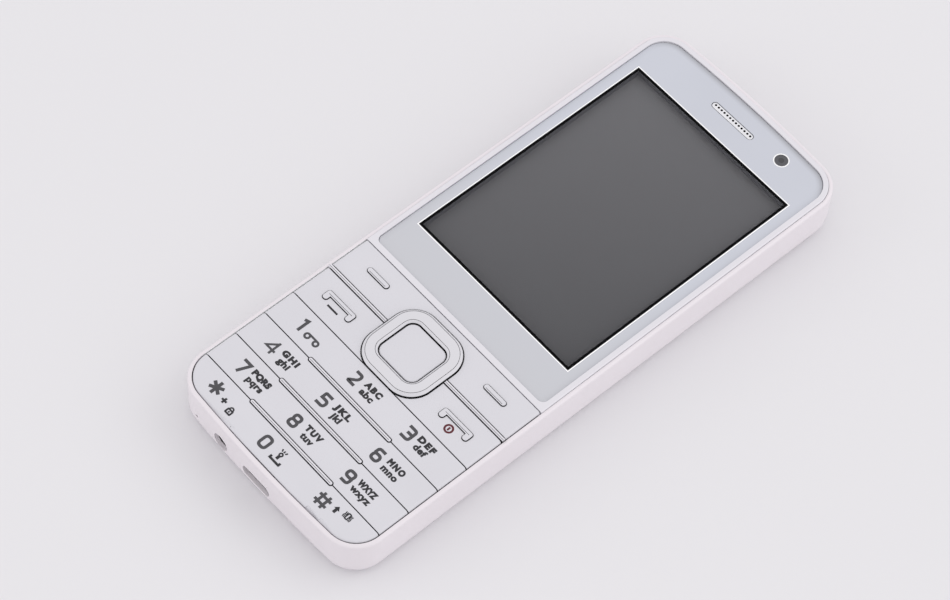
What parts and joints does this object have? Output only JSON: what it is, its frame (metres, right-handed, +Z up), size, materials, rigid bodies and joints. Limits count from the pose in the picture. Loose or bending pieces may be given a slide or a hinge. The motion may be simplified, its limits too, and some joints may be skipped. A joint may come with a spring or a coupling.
{
  "type": "mobile phone",
  "caption": "White one-piece mobile phone with a display above rows of number keys, a navigation ring, a wrap-round rear cover and sockets in its lower end.",
  "frame": {"origin": "on the back face, under the middle of the phone as it lies on its back", "axes": "+X to the phone's right, +Y from the keys to the earpiece, +Z up out of the display"},
  "size_m": [0.0542, 0.1336, 0.0126],
  "materials": {
    "shell": "smooth white",
    "rim": "smooth white",
    "lens": "clear, printed pale behind",
    "keys": "satin pale grey",
    "dark_glass": "polished dark",
    "clear_glass": "clear",
    "mesh": "white mesh",
    "black_plastic": "matt",
    "black_rubber": "soft",
    "silicone": "translucent pale",
    "white_plastic": "matt",
    "steel": "plain",
    "board": "green laminate",
    "flex": "amber film",
    "brass": "plated"
  },
  "bodies": {
    "cover": {"rear_cover": "shell", "rear_camera_window": "dark_glass", "torch_lens": "clear_glass"},
    "core": {"front_housing": "rim", "rear_housing": "black_plastic", "display_lens": "lens", "lens_tape": "black_rubber", "receiver_mesh": "mesh", "receiver": "black_plastic", "receiver_gasket": "black_rubber", "front_camera": "black_plastic", "backlight": "white_plastic", "lcd_panel": "dark_glass", "lcd_flex": "flex", "keypad_mat": "silicone", "dome_sheet": "white_plastic", "metal_domes": "steel", "main_board": "board", "baseband_shield": "steel", "radio_shield": "steel", "sim_holder": "steel", "memory_card_holder": "steel", "battery_connector": "black_plastic", "usb_connector": "steel", "audio_jack": "black_plastic", "microphone": "black_plastic", "microphone_boot": "black_rubber", "loudspeaker": "black_plastic", "speaker_gasket": "black_rubber", "vibration_motor": "steel", "antenna": "brass", "rear_camera": "black_plastic", "torch_lamp": "white_plastic", "housing_screws": "steel"},
    "battery": {"battery": "black_plastic"},
    "softkeys": {"softkey_bar": "keys"},
    "call": {"call_key": "keys"},
    "end": {"end_key": "keys"},
    "navigation_frame": {"navigation_carrier": "white_plastic"},
    "navigation": {"navigation_ring": "keys"},
    "select": {"select_key": "keys"},
    "row_1_carrier": {"row_carrier_1": "white_plastic"},
    "row_1": {"key_row_1": "keys"},
    "row_2_carrier": {"row_carrier_2": "white_plastic"},
    "row_2": {"key_row_2": "keys"},
    "row_3_carrier": {"row_carrier_3": "white_plastic"},
    "row_3": {"key_row_3": "keys"},
    "row_4_carrier": {"row_carrier_4": "white_plastic"},
    "row_4": {"key_row_4": "keys"}
  },
  "joints": [
    {"name": "cover_release", "type": "slide", "parent": "cover", "child": "core", "axis": [0, 0, 1], "range_m": [0, 0.03]},
    {"name": "battery_release", "type": "slide", "parent": "core", "child": "battery", "axis": [0, 0, -1], "range_m": [0, 0.012]},
    {"name": "softkey_rock", "type": "hinge", "parent": "core", "child": "softkeys", "pos_m": [0, -0.01818, 0.01005], "axis": [0, 1, 0], "range_deg": [-0.8, 0.8], "stiffness_Nm_per_rad": 0.5},
    {"name": "call_press", "type": "slide", "parent": "core", "child": "call", "axis": [0, 0, -1], "range_m": [0, 0.0003], "stiffness_N_per_m": 600, "springref_m": -0.001},
    {"name": "end_press", "type": "slide", "parent": "core", "child": "end", "axis": [0, 0, -1], "range_m": [0, 0.0003], "stiffness_N_per_m": 600, "springref_m": -0.001},
    {"name": "navigation_left_right", "type": "hinge", "parent": "core", "child": "navigation_frame", "pos_m": [0, -0.0278, 0.01005], "axis": [0, 1, 0], "range_deg": [-2, 2], "stiffness_Nm_per_rad": 0.2},
    {"name": "navigation_up_down", "type": "hinge", "parent": "navigation_frame", "child": "navigation", "pos_m": [0, -0.0278, 0.0109], "axis": [1, 0, 0], "range_deg": [-2, 2], "stiffness_Nm_per_rad": 0.2},
    {"name": "select_press", "type": "slide", "parent": "core", "child": "select", "axis": [0, 0, -1], "range_m": [0, 0.0003], "stiffness_N_per_m": 600, "springref_m": -0.001},
    {"name": "row_1_press", "type": "slide", "parent": "core", "child": "row_1_carrier", "axis": [0, 0, -1], "range_m": [0, 0.0003], "stiffness_N_per_m": 600, "springref_m": -0.001},
    {"name": "row_1_rock", "type": "hinge", "parent": "row_1_carrier", "child": "row_1", "pos_m": [0, -0.04022, 0.01045], "axis": [0, 1, 0], "range_deg": [-0.8, 0.8], "stiffness_Nm_per_rad": 0.5},
    {"name": "row_2_press", "type": "slide", "parent": "core", "child": "row_2_carrier", "axis": [0, 0, -1], "range_m": [0, 0.0003], "stiffness_N_per_m": 600, "springref_m": -0.001},
    {"name": "row_2_rock", "type": "hinge", "parent": "row_2_carrier", "child": "row_2", "pos_m": [0, -0.04757, 0.01045], "axis": [0, 1, 0], "range_deg": [-0.8, 0.8], "stiffness_Nm_per_rad": 0.5},
    {"name": "row_3_press", "type": "slide", "parent": "core", "child": "row_3_carrier", "axis": [0, 0, -1], "range_m": [0, 0.0003], "stiffness_N_per_m": 600, "springref_m": -0.001},
    {"name": "row_3_rock", "type": "hinge", "parent": "row_3_carrier", "child": "row_3", "pos_m": [0, -0.05493, 0.01045], "axis": [0, 1, 0], "range_deg": [-0.8, 0.8], "stiffness_Nm_per_rad": 0.5},
    {"name": "row_4_press", "type": "slide", "parent": "core", "child": "row_4_carrier", "axis": [0, 0, -1], "range_m": [0, 0.0003], "stiffness_N_per_m": 600, "springref_m": -0.001},
    {"name": "row_4_rock", "type": "hinge", "parent": "row_4_carrier", "child": "row_4", "pos_m": [0, -0.0622, 0.01045], "axis": [0, 1, 0], "range_deg": [-0.8, 0.8], "stiffness_Nm_per_rad": 0.5}
  ],
  "couplings": [
    {"joint": "battery_release", "follows": "cover_release", "ratio": 0.4}
  ]
}
